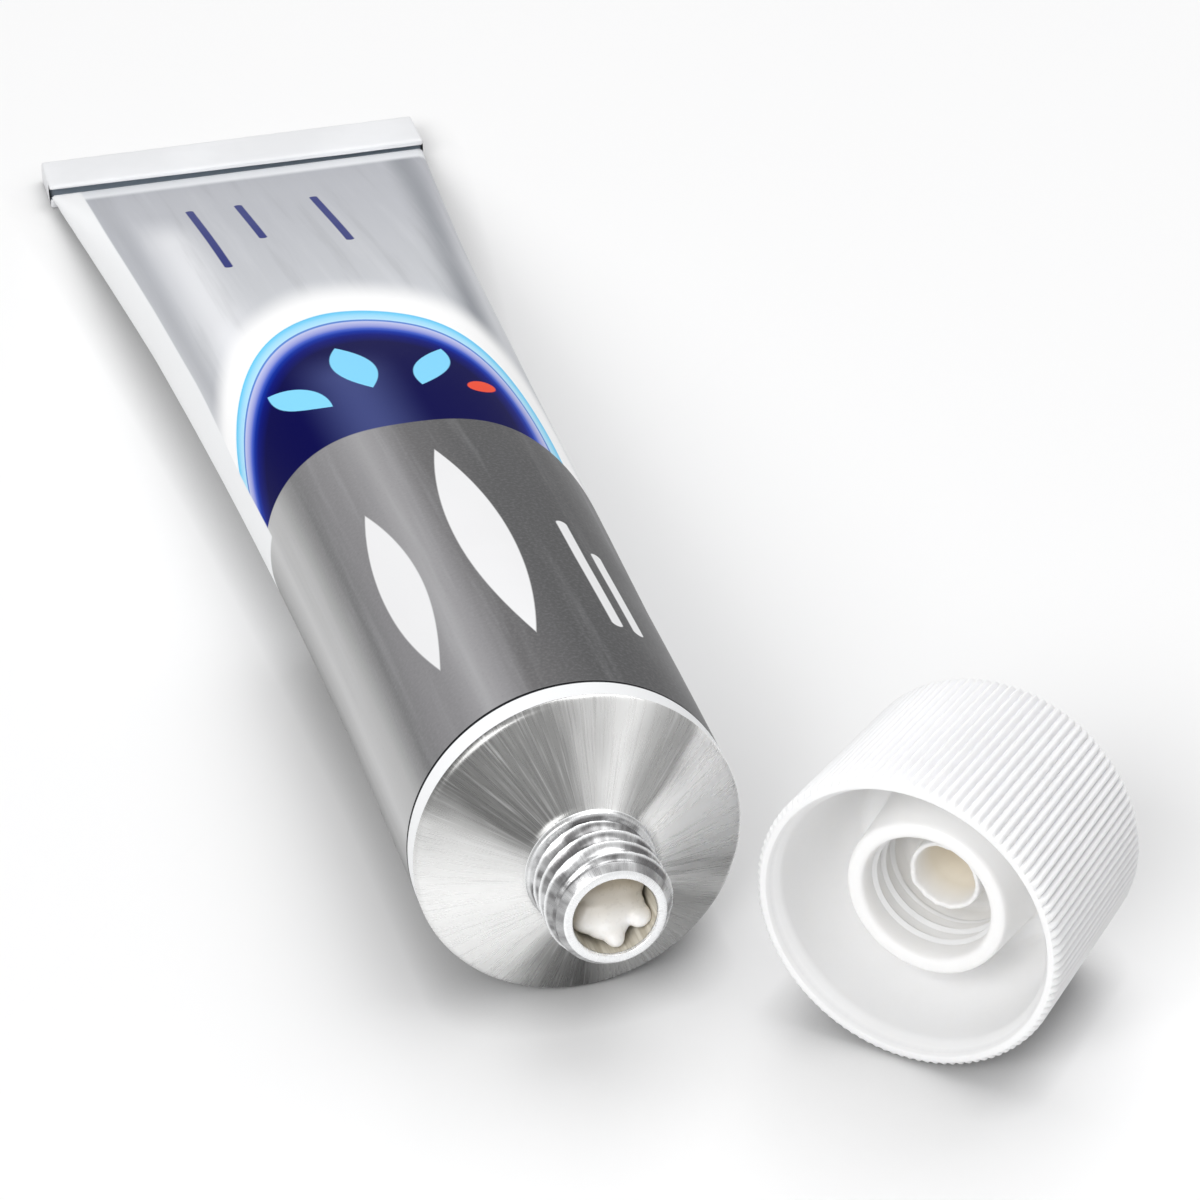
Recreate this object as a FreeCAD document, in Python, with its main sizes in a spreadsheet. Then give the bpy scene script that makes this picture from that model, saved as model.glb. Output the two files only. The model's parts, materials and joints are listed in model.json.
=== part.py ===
import FreeCAD, Part
import math
import os

import Sketcher

# A collapsible ointment tube of impact-extruded aluminium, with its contents, and its screw cap lying
# on its ribbed side in front of it. Millimetres, +Z up, tail towards +Y.
# Nodes: tube, cream, cap.

SIZES = [
    ("tube_radius", "14", "outside radius of the round shoulder end"),
    ("body_length", "153.8", "front of the folded end to the shoulder rim"),
    ("wall", "0.15", "thickness of the drawn body wall"),
    ("fold_gap", "0.1", "half the space left between the walls where they enter the fold"),
    ("belly", "0.71", "how much fuller the body is than a straight wedge"),
    ("fold_depth", "7.2", "depth of the folded end along the tube"),
    ("fold_thickness", "2.8", "height of the folded end"),
    ("fold_round", "0.95", "rounding of the long edges of the fold"),
    ("fold_slit", "0.34", "height of the slit between the rolled layers"),
    ("fold_slit_depth", "4.4", "how far the slit runs into the fold"),
    ("rim_bead", "0.1", "how far the shoulder rim stands out past the drawn wall"),
    ("shoulder_corner", "0.28", "how far the rim's bevel comes in"),
    ("shoulder_edge", "0.48", "height of the rim's bevel"),
    ("shoulder_height", "4.17", "rim to the foot of the neck"),
    ("shoulder_wall", "0.8", "thickness of the conical shoulder"),
    ("skirt", "0.8", "length of the shoulder's thickened ring inside the wall"),
    ("skirt_wall", "0.6", "thickness of that ring"),
    ("neck_radius", "5.36", "outside radius of the neck, over its thread"),
    ("neck_length", "6.7", "length of the threaded cylinder"),
    ("lip_radius", "4.25", "outside radius of the mouth's flat lip"),
    ("lip_height", "11.95", "rim to the face of the lip"),
    ("mouth_radius", "3.54", "radius of the mouth"),
    ("clearance", "0.03", "space between the wall and the contents"),
    ("cream_crown", "0.7", "how far the top of the contents stops short of the lip"),
    ("cap_radius", "13.5", "cap, outside radius over the ribs at its open end"),
    ("cap_end_radius", "12.87", "cap, outside radius over the ribs at its closed end"),
    ("cap_height", "19.3", "cap, overall height"),
    ("rib_depth", "0.42", "depth of the cap's ribs"),
    ("rib_count", "108", "number of ribs round the cap"),
    ("cap_edge", "1.2", "height of the rounding at the closed end"),
    ("cap_mouth_radius", "12.5", "cap, inside radius at its open rim"),
    ("cap_wall_radius", "11.87", "cap, inside radius behind the rim's step"),
    ("cap_floor_radius", "9.2", "cap, inside radius at its floor"),
    ("end_wall", "1.4", "thickness of the cap's end wall between its floor and its recess"),
    ("collar_depth", "4", "open rim to the face of the threaded collar"),
    ("collar_radius", "7.1", "collar, outside radius"),
    ("collar_bore", "5.6", "collar, inside radius over the thread"),
    ("plug_depth", "7.8", "open rim to the face of the plug ring"),
    ("plug_radius", "3.16", "plug ring, outside radius"),
    ("plug_wall", "0.5", "plug ring, wall"),
    ("recess_radius", "9", "radius of the recess in the closed end"),
    ("recess_depth", "5.6", "depth of that recess"),
    ("spike_radius", "3.3", "radius of the piercing spike at its foot"),
    ("spike_height", "4.6", "height of the piercing spike"),
    ("cap_heading", "44.2", "turn of the cap on the ground, degrees from +Y towards +X"),
    ("cap_x", "22.56", "cap's opening, distance right of the tube's middle"),
    ("cap_y", "16.08", "cap's opening, distance in front of the shoulder rim"),
    ("frame_x", "0", "shift of the whole to the middle of its box"),
    ("frame_y", "0", "shift of the whole to the middle of its box"),
]

RIM = "(sizes.tube_radius + sizes.rim_bead)"
TILT = ("(atan(%s / sizes.body_length) - asin(sizes.fold_thickness / 2"
        " / sqrt(%s ^ 2 + sizes.body_length ^ 2)))" % (RIM, RIM))
CAP_TILT = "atan((sizes.cap_radius - sizes.cap_end_radius) / (sizes.cap_height - sizes.cap_edge - 0.45))"
STATIONS = [0.05, 0.14, 0.28, 0.48, 0.73]

doc = FreeCAD.newDocument("ointment_tube")
sheet = doc.addObject("Spreadsheet::Sheet", "sizes")
cell_of = {}
for row, (alias, value, note) in enumerate(SIZES, start=1):
    sheet.set("A%d" % row, alias)
    sheet.set("B%d" % row, value)
    sheet.set("C%d" % row, note)
    sheet.setAlias("B%d" % row, alias)
    cell_of[alias] = "B%d" % row
doc.recompute()


def size(alias):
    """A sheet value as a plain number."""
    return float(getattr(sheet, alias))


def plane_of(body, role):
    """The body's own origin plane with this role."""
    return [feature for feature in body.Origin.OriginFeatures if feature.Role == role][0]


def new_sketch(body, name, role):
    """An empty sketch on one of the body's origin planes."""
    sketch = body.newObject("Sketcher::SketchObject", name)
    sketch.AttachmentSupport = [(plane_of(body, role), "")]
    sketch.MapMode = "FlatFace"
    return sketch


def polygon_sketch(body, name, role, corners):
    """A closed outline on an origin plane. Each corner is a pair of expressions."""
    sketch = new_sketch(body, name, role)
    count = len(corners)
    points = []
    for across, along in corners:
        points.append(FreeCAD.Vector(evaluate(across), evaluate(along), 0))
    for index in range(count):
        sketch.addGeometry(Part.LineSegment(points[index], points[(index + 1) % count]), False)
    for index in range(count):
        sketch.addConstraint(Sketcher.Constraint("Coincident", index, 2, (index + 1) % count, 1))
    for index, (across, along) in enumerate(corners):
        for kind, axis, text, value in (("DistanceX", "across", across, points[index].x),
                                        ("DistanceY", "along", along, points[index].y)):
            number = sketch.addConstraint(Sketcher.Constraint(kind, -1, 1, index, 1, value))
            sketch.renameConstraint(number, "%s_%d" % (axis, index))
            if "sizes." in text:
                sketch.setExpression("Constraints.%s_%d" % (axis, index), text)
    return sketch


def evaluate(text):
    """The present value of an expression of sheet values."""
    return float(sheet.evalExpression(text)) if "sizes." in text else float(text)


def oval_sketch(body, name, height, rise, half_flat, end_radius):
    """A flattened tube section: two half-circles joined by two straights, across the body's axis."""
    sketch = new_sketch(body, name, "XY_Plane")
    flat = evaluate(half_flat)
    radius = evaluate(end_radius)
    turn = math.pi / 2
    right = FreeCAD.Vector(flat, 0, 0)
    left = FreeCAD.Vector(-flat, 0, 0)
    up = FreeCAD.Vector(0, radius, 0)
    axis = FreeCAD.Vector(0, 0, 1)
    sketch.addGeometry(Part.ArcOfCircle(Part.Circle(right, axis, radius), -turn, turn), False)
    sketch.addGeometry(Part.LineSegment(right + up, left + up), False)
    sketch.addGeometry(Part.ArcOfCircle(Part.Circle(left, axis, radius), turn, 3 * turn), False)
    sketch.addGeometry(Part.LineSegment(left - up, right - up), False)
    for index in range(4):
        sketch.addConstraint(Sketcher.Constraint("Tangent", index, 2, (index + 1) % 4, 1))
    sketch.addConstraint(Sketcher.Constraint("Horizontal", 1))
    sketch.addConstraint(Sketcher.Constraint("Symmetric", 0, 3, 2, 3, -1, 1))
    number = sketch.addConstraint(Sketcher.Constraint("DistanceX", -1, 1, 0, 3, flat))
    sketch.renameConstraint(number, "half_flat")
    number = sketch.addConstraint(Sketcher.Constraint("Radius", 0, radius))
    sketch.renameConstraint(number, "end_radius")
    sketch.setExpression("Constraints.half_flat", half_flat)
    sketch.setExpression("Constraints.end_radius", end_radius)
    sketch.setExpression("AttachmentOffset.Base.y", rise)
    sketch.setExpression("AttachmentOffset.Base.z", height)
    return sketch


def half_height(share):
    """Half the outside height of the body at a share of its length from the fold, an expression."""
    start = "(sizes.wall + sizes.fold_gap)"
    fullness = "%g * (1 + sizes.belly * %g)" % (share, 1 - share)
    return "(%s + (sizes.tube_radius - %s) * %s)" % (start, start, fullness)


def wall_rise(share):
    """Lift of a section's middle above the straight axis, an expression.

    The underside comes down from the fold and then lies along the ground.
    """
    start = "(sizes.wall + sizes.fold_gap)"
    under = "(sizes.fold_thickness / 2 - %s) * %g" % (start, (1 - share) ** 8)
    return "%s - sizes.tube_radius * %g - sizes.fold_thickness / 2 * %g + %s" % (
        half_height(share), share, 1 - share, under)


def body_loft(body, kind, name, inset, shares, last_height):
    """A loft through the body's sections at these shares, set in from its outside by an expression."""
    sections = []
    for index, share in enumerate(shares):
        outside = half_height(share)
        half_flat = "1.5707963 * (sizes.tube_radius - %s)" % outside
        radius = "%s - %s" % (outside, inset) if inset else outside
        height = "sizes.body_length * %g" % share
        if index == len(shares) - 1:
            height = last_height
        section = oval_sketch(body, "%s_section_%d" % (name, index), height, wall_rise(share),
                              half_flat, radius)
        sections.append(section)
    doc.recompute()
    loft = body.newObject(kind, name)
    loft.Profile = sections[0]
    loft.Sections = sections[1:]
    loft.Ruled = True
    loft.Closed = False
    loft.Refine = False
    doc.recompute()
    return loft


# Conical shoulder line: its height above the rim plane at a radius, with the sheet wall taken off.
def inner_cone(radius):
    """Height of the shoulder's inner face above the rim at a radius, an expression."""
    slope = ("((sizes.shoulder_height - sizes.shoulder_edge)"
             " / (sizes.tube_radius - sizes.shoulder_corner - sizes.neck_radius))")
    lower = "sizes.shoulder_wall * sqrt(1 + %s ^ 2)" % slope
    return "(sizes.shoulder_height + (sizes.neck_radius - %s) * %s - %s)" % (radius, slope, lower)


# ---- tube -------------------------------------------------------------------------------------
# Local frame: origin where the axis enters the fold, +Z along the axis to the mouth, +Y upwards.
tube = doc.addObject("PartDesign::Body", "tube")
tube.Label = "tube"
tube_outside = body_loft(tube, "PartDesign::AdditiveLoft", "tube_outside", "",
                         [-0.004] + STATIONS + [0.995], "sizes.body_length + 0")

# Shoulder and neck, solid at first: one profile turned about the axis.
shoulder_profile = polygon_sketch(tube, "shoulder_profile", "XZ_Plane", [
    ("0", "sizes.skirt + 0.9"),
    ("sizes.tube_radius + sizes.rim_bead", "sizes.skirt + 0.9"),
    ("sizes.tube_radius + sizes.rim_bead", "sizes.skirt + 1"),
    ("sizes.tube_radius - sizes.shoulder_corner * 0.25",
     "sizes.skirt + 1 + sizes.shoulder_edge * 0.5"),
    ("sizes.tube_radius - sizes.shoulder_corner", "sizes.skirt + 1 + sizes.shoulder_edge"),
    ("sizes.neck_radius + 0", "sizes.skirt + 1 + sizes.shoulder_height"),
    ("sizes.neck_radius + 0", "sizes.skirt + 1 + sizes.shoulder_height + sizes.neck_length"),
    ("sizes.lip_radius + (sizes.neck_radius - sizes.lip_radius) * 0.35",
     "sizes.skirt + 1 + sizes.lip_height - (sizes.lip_height - sizes.shoulder_height"
     " - sizes.neck_length) * 0.2"),
    ("sizes.lip_radius + 0", "sizes.skirt + 1 + sizes.lip_height"),
    ("0", "sizes.skirt + 1 + sizes.lip_height"),
])
shoulder_profile.setExpression("AttachmentOffset.Base.y", "sizes.body_length - sizes.skirt - 1")
doc.recompute()
shoulder = tube.newObject("PartDesign::Revolution", "shoulder")
shoulder.Profile = shoulder_profile
shoulder.ReferenceAxis = (shoulder_profile, ["V_Axis"])
shoulder.Angle = 360
shoulder.Refine = False
doc.recompute()

# Folded end: a rolled bar, level with the ground, its slit opening towards the shoulder.
FOLD_DEPTH = "sizes.fold_depth + 0"
FOLD_TOP = "sizes.fold_thickness + 0"
EDGE = "sizes.fold_round"
BODY_UNDER = "sizes.fold_thickness / 2 - sizes.wall - sizes.fold_gap - 0.2"
fold_profile = polygon_sketch(tube, "fold_profile", "YZ_Plane", [
    (EDGE + " * 0.6", "0"),
    ("sizes.fold_depth - sizes.fold_round", "0"),
    ("sizes.fold_depth - sizes.fold_round * 0.29", EDGE + " * 0.29"),
    (FOLD_DEPTH, EDGE + " * 1"),
    (FOLD_DEPTH, "sizes.fold_thickness - sizes.fold_round"),
    ("sizes.fold_depth - sizes.fold_round * 0.29", "sizes.fold_thickness - sizes.fold_round * 0.29"),
    ("sizes.fold_depth - sizes.fold_round", FOLD_TOP),
    (EDGE + " * 0.8", FOLD_TOP),
    (EDGE + " * 0.23", "sizes.fold_thickness - sizes.fold_round * 0.23"),
    ("0", "sizes.fold_thickness - sizes.fold_round * 0.8"),
    ("0", BODY_UNDER),
    ("sizes.fold_slit_depth + 0", BODY_UNDER),
    ("sizes.fold_slit_depth + 0", BODY_UNDER + " - sizes.fold_slit"),
    (EDGE + " * 0.3", BODY_UNDER + " - sizes.fold_slit"),
    ("0", EDGE + " * 0.35"),
])
fold_profile.setExpression("AttachmentOffset.Base.x", "-sizes.fold_thickness / 2 * cos(%s)" % TILT)
fold_profile.setExpression("AttachmentOffset.Base.y", "-sizes.fold_thickness / 2 * sin(%s)" % TILT)
fold_profile.AttachmentOffset = FreeCAD.Placement(
    FreeCAD.Vector(0, 0, 0), FreeCAD.Rotation(FreeCAD.Vector(0, 0, -1), 90))
fold_profile.setExpression("AttachmentOffset.Rotation.Angle", "90 deg - %s" % TILT)
doc.recompute()
fold = tube.newObject("PartDesign::Pad", "fold")
fold.Profile = fold_profile
fold.Midplane = True
fold.Refine = False
fold.Length = 44
fold.setExpression("Length", "3.1415927 * sizes.tube_radius")
doc.recompute()

# The hollow: the body's inside, then the shoulder's inside and the bore, which a thickened ring rims.
tube_cavity = body_loft(tube, "PartDesign::SubtractiveLoft", "tube_cavity", "sizes.wall",
                        [0.004] + STATIONS + [0.995], "sizes.body_length - sizes.skirt")
RING_INSIDE = "(sizes.tube_radius - sizes.skirt_wall)"
bore_profile = polygon_sketch(tube, "bore_profile", "XZ_Plane", [
    ("0", "0"),
    (RING_INSIDE, "0"),
    (RING_INSIDE, "sizes.skirt + 1 + %s" % inner_cone(RING_INSIDE)),
    ("sizes.mouth_radius + 0", "sizes.skirt + 1 + %s" % inner_cone("sizes.mouth_radius")),
    ("sizes.mouth_radius + 0", "sizes.skirt + 2 + sizes.lip_height"),
    ("0", "sizes.skirt + 2 + sizes.lip_height"),
])
bore_profile.setExpression("AttachmentOffset.Base.y", "sizes.body_length - sizes.skirt - 1")
doc.recompute()
bore = tube.newObject("PartDesign::Groove", "bore")
bore.Profile = bore_profile
bore.ReferenceAxis = (bore_profile, ["V_Axis"])
bore.Angle = 360
bore.Refine = False
doc.recompute()

# ---- cream ------------------------------------------------------------------------------------
# Same local frame as the tube. It fills the body and stands a little short of the lip.
cream = doc.addObject("PartDesign::Body", "cream")
cream.Label = "cream"
cream_body = body_loft(cream, "PartDesign::AdditiveLoft", "cream_body",
                       "(sizes.wall + sizes.clearance)", STATIONS + [0.994],
                       "sizes.body_length - sizes.skirt - sizes.clearance")
CREAM_SIDE = "(sizes.tube_radius - sizes.skirt_wall - sizes.clearance)"
CREAM_NECK = "(sizes.mouth_radius - sizes.clearance)"
CREAM_TOP = "sizes.skirt + 2 + sizes.lip_height - sizes.cream_crown"
cream_profile = polygon_sketch(cream, "cream_profile", "XZ_Plane", [
    ("0", "0"),
    (CREAM_SIDE + " - 0.3", "0"),
    (CREAM_SIDE, "sizes.skirt + 0"),
    (CREAM_SIDE, "sizes.skirt + 2 - sizes.clearance * 1.5 + %s" % inner_cone(CREAM_SIDE)),
    (CREAM_NECK, "sizes.skirt + 2 - sizes.clearance * 1.5 + %s" % inner_cone(CREAM_NECK)),
    (CREAM_NECK, CREAM_TOP + " - 2.6"),
    (CREAM_NECK + " * 0.8", CREAM_TOP + " - 1.3"),
    (CREAM_NECK + " * 0.45", CREAM_TOP + " - 0.4"),
    ("0", CREAM_TOP),
])
cream_profile.setExpression("AttachmentOffset.Base.y", "sizes.body_length - sizes.skirt - 2")
doc.recompute()
cream_neck = cream.newObject("PartDesign::Revolution", "cream_neck")
cream_neck.Profile = cream_profile
cream_neck.ReferenceAxis = (cream_profile, ["V_Axis"])
cream_neck.Angle = 360
cream_neck.Refine = False
doc.recompute()

# ---- cap --------------------------------------------------------------------------------------
# Local frame: origin at the middle of the open rim, +Z to the closed end. Its ribs taper with it.


def ribbed_ring(height, tip):
    """Corners round the cap's axis at one height: a flat-topped rib for each share of the turn."""
    count = int(round(size("rib_count")))
    root = tip * (1 - size("rib_depth") / size("cap_radius"))
    points = []
    for index in range(count):
        middle = 2 * math.pi * index / count
        step = math.pi / count
        for offset, radius in ((-0.5, tip), (0.5, tip), (1.0, root)):
            angle = middle + offset * step
            points.append(FreeCAD.Vector(radius * math.cos(angle), radius * math.sin(angle), height))
    return points


def ribbed_blank():
    """The cap's outside as a solid of flat faces, bevelled at both ends, its ribs tapering with it."""
    height = size("cap_height")
    edge = size("cap_edge")
    end_tip = size("cap_end_radius")
    rings = [
        ribbed_ring(0, size("cap_radius") - 0.4),
        ribbed_ring(0.45, size("cap_radius")),
        ribbed_ring(height - edge, end_tip),
        ribbed_ring(height - edge * 0.35, end_tip - edge * 0.25),
        ribbed_ring(height, end_tip - edge * 0.8),
    ]
    faces = [Part.Face(Part.makePolygon(ring + [ring[0]])) for ring in (rings[0], rings[-1])]
    for lower, upper in zip(rings, rings[1:]):
        for index in range(len(lower)):
            after = (index + 1) % len(lower)
            corners = [lower[index], lower[after], upper[after], upper[index], lower[index]]
            faces.append(Part.Face(Part.makePolygon(corners)))
    shell = Part.Shell(faces)
    shell.sewShape()
    return Part.Solid(shell)


blank = doc.addObject("Part::Feature", "cap_blank")
blank.Shape = ribbed_blank()

cap = doc.addObject("PartDesign::Body", "cap")
cap.Label = "cap"
cap.BaseFeature = blank
doc.recompute()

CAP_FLOOR = "(sizes.cap_height - sizes.recess_depth - sizes.end_wall)"
THREAD_END = "(sizes.plug_depth - 0.4)"
inside_profile = polygon_sketch(cap, "inside_profile", "XZ_Plane", [
    ("0", "0"),
    ("sizes.cap_mouth_radius + 0", "0"),
    ("sizes.cap_mouth_radius - 0.1", "0.35"),
    ("sizes.cap_mouth_radius - 0.3", "0.9"),
    ("sizes.cap_wall_radius + 0", "1.25"),
    ("sizes.cap_wall_radius * 0.98", CAP_FLOOR + " * 0.32"),
    ("sizes.cap_wall_radius * 0.927", CAP_FLOOR + " * 0.55"),
    ("sizes.cap_wall_radius * 0.86", CAP_FLOOR + " * 0.8"),
    ("sizes.cap_floor_radius + 0", CAP_FLOOR),
    ("sizes.collar_radius + 0.5", CAP_FLOOR),
    ("sizes.collar_radius + 0", "sizes.collar_depth + 0.3"),
    ("sizes.collar_radius - 0.25", "sizes.collar_depth + 0"),
    ("sizes.collar_bore + 0.25", "sizes.collar_depth + 0"),
    ("sizes.collar_bore + 0", "sizes.collar_depth + 0.35"),
    ("sizes.collar_bore + 0", THREAD_END),
    ("sizes.collar_bore - 0.4", THREAD_END),
    ("sizes.collar_bore - 0.4", CAP_FLOOR),
    ("sizes.plug_radius + 0.1", CAP_FLOOR),
    ("sizes.plug_radius + 0", "sizes.plug_depth + 0.4"),
    ("sizes.plug_radius - 0.2", "sizes.plug_depth + 0"),
    ("sizes.plug_radius - sizes.plug_wall", "sizes.plug_depth + 0"),
    ("sizes.plug_radius - sizes.plug_wall - 0.5", CAP_FLOOR),
    ("0.5", "sizes.cap_height - sizes.recess_depth + sizes.spike_height * 0.75"),
    ("0", "sizes.cap_height - sizes.recess_depth + sizes.spike_height * 0.78"),
])
doc.recompute()
inside = cap.newObject("PartDesign::Groove", "inside")
inside.Profile = inside_profile
inside.ReferenceAxis = (inside_profile, ["V_Axis"])
inside.Angle = 360
inside.Refine = False
doc.recompute()

recess_profile = polygon_sketch(cap, "recess_profile", "XZ_Plane", [
    ("0", "sizes.cap_height - sizes.recess_depth + sizes.spike_height"),
    ("0.45", "sizes.cap_height - sizes.recess_depth + sizes.spike_height * 0.97"),
    ("sizes.spike_radius + 0", "sizes.cap_height - sizes.recess_depth"),
    ("sizes.recess_radius - 0.5", "sizes.cap_height - sizes.recess_depth"),
    ("sizes.recess_radius - 0.2", "sizes.cap_height - sizes.recess_depth + 0.4"),
    ("sizes.recess_radius - 0.1", "sizes.cap_height - 0.25"),
    ("sizes.recess_radius + 0.15", "sizes.cap_height + 0"),
    ("0", "sizes.cap_height + 0"),
])
doc.recompute()
recess = cap.newObject("PartDesign::Groove", "recess")
recess.Profile = recess_profile
recess.ReferenceAxis = (recess_profile, ["V_Axis"])
recess.Angle = 360
recess.Refine = False
doc.recompute()

# ---- places -----------------------------------------------------------------------------------
for part in (tube, cream):
    part.Placement = FreeCAD.Placement(FreeCAD.Vector(0, 0, 0),
                                       FreeCAD.Rotation(FreeCAD.Vector(1, 0, 0), 85))
    part.setExpression("Placement.Rotation.Angle", "90 deg - %s" % TILT)
    part.setExpression("Placement.Base.x", "sizes.frame_x")
    part.setExpression("Placement.Base.y", "sizes.frame_y + %s * sin(%s)"
                       " + sizes.body_length * cos(%s)" % (RIM, TILT, TILT))
    part.setExpression("Placement.Base.z", "sizes.fold_thickness / 2")
cap.setExpression("Placement", "create(<<placement>>; create(<<vector>>;"
                  " sizes.frame_x + sizes.cap_x; sizes.frame_y - sizes.cap_y;"
                  " sizes.cap_radius * cos(%s) + 0.45 * sin(%s));"
                  " create(<<rotation>>; 90 - sizes.cap_heading; 90 + %s / 1 deg; 0))"
                  % (CAP_TILT, CAP_TILT, CAP_TILT))
doc.recompute()

# The frame's origin is the middle of the whole's footprint.
whole = tube.Shape.optimalBoundingBox(False, False)
for corner in cap.Shape.Vertexes:
    whole.add(corner.Point)
sheet.set(cell_of["frame_x"], "%.4f" % -whole.Center.x)
sheet.set(cell_of["frame_y"], "%.4f" % -whole.Center.y)
doc.recompute()

# ---- checks and files -------------------------------------------------------------------------
for item in doc.Objects:
    if "Invalid" in item.State or "Error" in item.State:
        raise RuntimeError("%s is not valid: %s" % (item.Name, item.State))
os.makedirs("parts", exist_ok=True)
for part in (tube, cream, cap):
    if part.Shape.isNull() or not part.Shape.isValid() or len(part.Shape.Solids) != 1:
        raise RuntimeError("%s has no sound single solid" % part.Label)
    part.Shape.exportStep("parts/%s.step" % part.Label)
    print(part.Label, "%.1f mm3" % part.Shape.Volume)
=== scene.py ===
"""A collapsible ointment tube on its side, with its filling and its ribbed screw cap set beside it.

Every piece is made in millimetres in its own workshop frame (axis up Z), then carried to its place in
metres by a `Seat`. The tube's workshop origin is the middle of the shoulder rim, +Z to the mouth and
+Y to its upper side. The cap's origin is the middle of its open rim, +Z to the closed end.
"""
import json
import logging
import math
from dataclasses import dataclass
from enum import Enum
from typing import Callable, Iterable, Sequence

import bmesh
import bpy
from mathutils import Matrix, Vector, noise


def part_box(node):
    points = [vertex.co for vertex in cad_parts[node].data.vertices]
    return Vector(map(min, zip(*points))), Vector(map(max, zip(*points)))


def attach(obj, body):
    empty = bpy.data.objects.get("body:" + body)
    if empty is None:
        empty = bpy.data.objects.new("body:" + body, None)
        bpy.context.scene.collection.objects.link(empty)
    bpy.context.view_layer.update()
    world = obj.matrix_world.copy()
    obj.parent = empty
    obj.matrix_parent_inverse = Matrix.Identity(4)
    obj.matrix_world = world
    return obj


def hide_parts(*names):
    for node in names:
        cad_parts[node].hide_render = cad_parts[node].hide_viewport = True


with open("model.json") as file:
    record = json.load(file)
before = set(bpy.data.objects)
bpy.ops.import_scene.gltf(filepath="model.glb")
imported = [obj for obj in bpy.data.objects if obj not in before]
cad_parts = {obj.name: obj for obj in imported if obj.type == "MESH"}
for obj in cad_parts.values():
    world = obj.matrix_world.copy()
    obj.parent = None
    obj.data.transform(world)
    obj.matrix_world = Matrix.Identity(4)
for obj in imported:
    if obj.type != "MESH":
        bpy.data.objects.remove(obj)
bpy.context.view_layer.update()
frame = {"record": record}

LOG = logging.getLogger("ointment_tube")
Pair = tuple[float, float]
Triple = tuple[float, float, float]
MM = 0.001
NECK_MOUNT_HEIGHT = 7.52
COLLAR_MOUNT_DEPTH = 5.875


# ---- places ----


@dataclass(frozen=True)
class Seat:
    """A workshop frame: where a piece's own origin and axes stand in the model."""

    origin: Vector
    across: Vector
    upper: Vector
    axis: Vector

    def matrix(self) -> Matrix:
        """Workshop millimetres to model metres."""
        turn = Matrix((self.across, self.upper, self.axis)).transposed().to_4x4()
        return Matrix.Translation(self.origin) @ turn @ Matrix.Scale(MM, 4)


def mount_line(name: str) -> tuple[Vector, Vector]:
    """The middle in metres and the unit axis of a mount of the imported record."""
    mount = next(item for item in frame["record"]["mounts"] if item["name"] == name)
    return Vector(mount["pos_m"]), Vector(mount["axis"]).normalized()


def tube_seat() -> Seat:
    """The tube's frame, found from its neck's mount.

    Returns:
        The frame.
    """
    middle, axis = mount_line("neck_thread")
    across = Vector((1.0, 0.0, 0.0))
    upper = axis.cross(across).normalized()
    return Seat(middle - axis * (NECK_MOUNT_HEIGHT * MM), across, upper, axis)


def cap_seat() -> Seat:
    """The cap's frame, found from its collar's mount.

    Returns:
        The frame.
    """
    middle, outward = mount_line("cap_thread")
    axis = -outward
    across = axis.cross(Vector((0.0, 0.0, 1.0))).normalized()
    return Seat(middle + outward * (COLLAR_MOUNT_DEPTH * MM), across, axis.cross(across), axis)


# ---- mesh helpers ----


def placed(name: str, data: bpy.types.ID) -> bpy.types.Object:
    """A new object of the scene, at the origin.

    Args:
        name: Its name.
        data: Its mesh, lamp or camera.

    Returns:
        The object.
    """
    item = bpy.data.objects.new(name, data)
    bpy.context.scene.collection.objects.link(item)
    return item


def as_mesh(form: bmesh.types.BMesh, name: str) -> bpy.types.Mesh:
    """A bmesh written out as a mesh, and freed.

    Args:
        form: The bmesh.
        name: The mesh's name.

    Returns:
        The mesh.
    """
    mesh = bpy.data.meshes.new(name)
    form.to_mesh(mesh)
    form.free()
    return mesh


def finish_mesh(form: bmesh.types.BMesh, name: str, seat: Seat | None,
                finish: bpy.types.Material, sharp: float) -> bpy.types.Object:
    """Turns a bmesh into a placed, smooth-shaded object.

    Args:
        form: The mesh in workshop millimetres, freed here.
        name: The piece's name.
        seat: Where it stands, or None for a mesh already in metres.
        finish: Its material.
        sharp: Angle in degrees from which an edge stays crisp.

    Returns:
        The new object, at the origin with its place in its mesh.
    """
    if seat is not None:
        form.transform(seat.matrix())
    for face in form.faces:
        face.smooth = True
    for edge in form.edges:
        edge.smooth = not (edge.is_manifold and edge.calc_face_angle(0.0) > math.radians(sharp))
    piece = placed(name, as_mesh(form, name))
    piece.data.materials.append(finish)
    return piece


def reach(vert: bmesh.types.BMVert) -> float:
    """How far a vertex lies from the axis."""
    return math.hypot(vert.co.x, vert.co.y)


def set_reach(vert: bmesh.types.BMVert, wanted: float) -> None:
    """Moves a vertex in or out until it lies `wanted` from the axis."""
    share = wanted / reach(vert)
    vert.co.x, vert.co.y = vert.co.x * share, vert.co.y * share


def face_axis(form: bmesh.types.BMesh) -> None:
    """Turns every face of a bore towards its axis."""
    away = [face for face in form.faces
            if face.normal.dot(face.calc_center_median() * Vector((1, 1, 0))) > 0]
    bmesh.ops.reverse_faces(form, faces=away)


@dataclass(frozen=True)
class Ring:
    """One ring of a turned shape: its radius, its height and how deep the ribs are cut in it."""

    radius: float
    height: float
    ribs: float = 0.0


def rings_of(path: Iterable[Pair]) -> list[Ring]:
    """Plain rings from radius and height pairs."""
    return [Ring(radius, height) for radius, height in path]


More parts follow.
